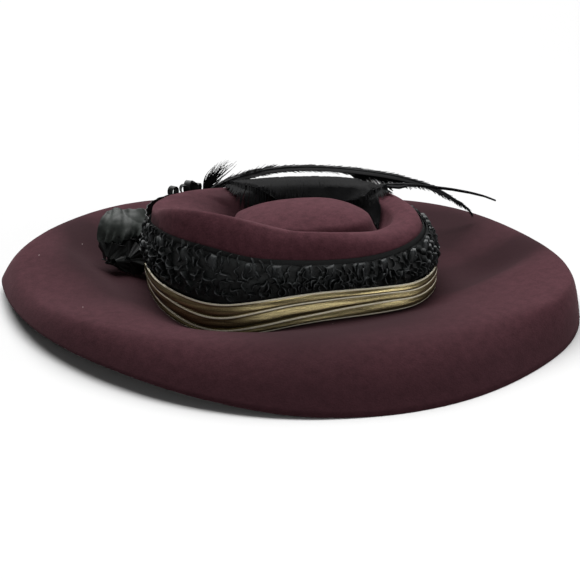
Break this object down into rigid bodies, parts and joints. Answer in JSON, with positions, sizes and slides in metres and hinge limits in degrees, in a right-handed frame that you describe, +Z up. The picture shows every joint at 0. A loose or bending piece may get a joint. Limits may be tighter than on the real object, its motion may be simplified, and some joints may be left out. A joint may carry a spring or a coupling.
{
  "type": "feathered hat",
  "caption": "Wide-brimmed felt hat with a telescoped crown, a ruched ribbon over gold folds, a satin rosette and sweeping feathers",
  "frame": {"origin": "middle of the hat's outline seen from above, at the height of the surface it rests on", "axes": "+X along the crown's length, away from the rosette; +Y towards the side with the feathers; +Z up, out of the crown's top"},
  "size_m": [0.3942, 0.3796, 0.0786],
  "materials": {
    "felt": "brushed wool felt, plum brown",
    "ribbon": "black grosgrain",
    "satin": "black satin",
    "lame": "gold metallic weave",
    "feather": "black feather"
  },
  "bodies": {
    "root": {"felt_body": "felt", "ribbon_flat": "ribbon", "ribbon_ruched": "satin", "gold_fold_upper": "lame", "gold_fold_middle": "lame", "gold_fold_lower": "lame", "ribbon_rosette": "satin", "ribbon_loops": "satin", "plume_upper": "feather", "plume_broad": "feather", "plume_groove": "feather", "plume_tuft": "feather"}
  },
  "joints": []
}
